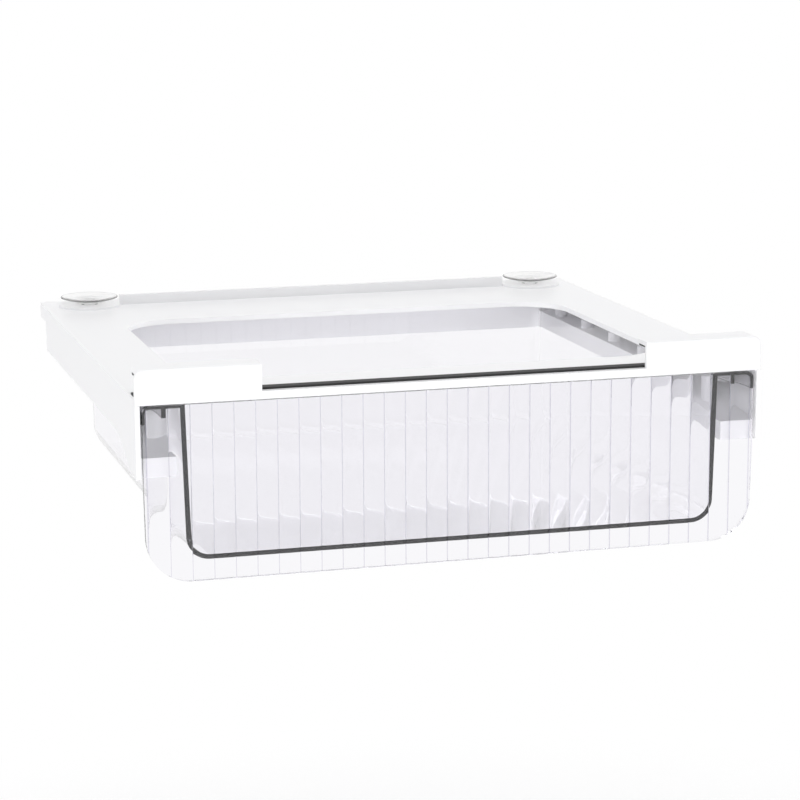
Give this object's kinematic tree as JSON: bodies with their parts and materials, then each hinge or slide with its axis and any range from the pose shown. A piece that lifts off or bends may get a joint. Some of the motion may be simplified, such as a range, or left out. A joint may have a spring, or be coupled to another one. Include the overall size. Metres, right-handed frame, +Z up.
{
  "type": "fridge drawer organizer",
  "caption": "Pull-out clear drawer with a fluted front, hung under a fridge shelf from a white frame with front hooks and rear suction cups.",
  "frame": {"origin": "middle of the seat strip's top face, which meets the underside of the shelf's front edge", "axes": "+Z up, +X to the right seen from the front, +Y to the back; the drawer pulls out along -Y"},
  "size_m": [0.3, 0.291, 0.0982],
  "materials": {
    "white_plastic": "smooth, semi-gloss",
    "clear_plastic": "clear, polished",
    "clear_vinyl": "clear, soft",
    "black_rubber": "matt"
  },
  "bodies": {
    "hanger": {"top_frame": "white_plastic", "front_hook_bar": "white_plastic", "seat_strip": "black_rubber", "left_hook_pad": "black_rubber", "left_side_rail": "white_plastic", "left_guide_studs": "white_plastic", "left_suction_cup": "clear_vinyl", "right_hook_pad": "black_rubber", "right_side_rail": "white_plastic", "right_guide_studs": "white_plastic", "right_suction_cup": "clear_vinyl"},
    "drawer": {"drawer_tub": "clear_plastic", "drawer_front": "clear_plastic", "left_runner": "clear_plastic", "right_runner": "clear_plastic"}
  },
  "joints": [
    {"name": "drawer_slide", "type": "slide", "parent": "hanger", "child": "drawer", "axis": [0, -1, 0], "range_m": [0, 0.135]}
  ]
}
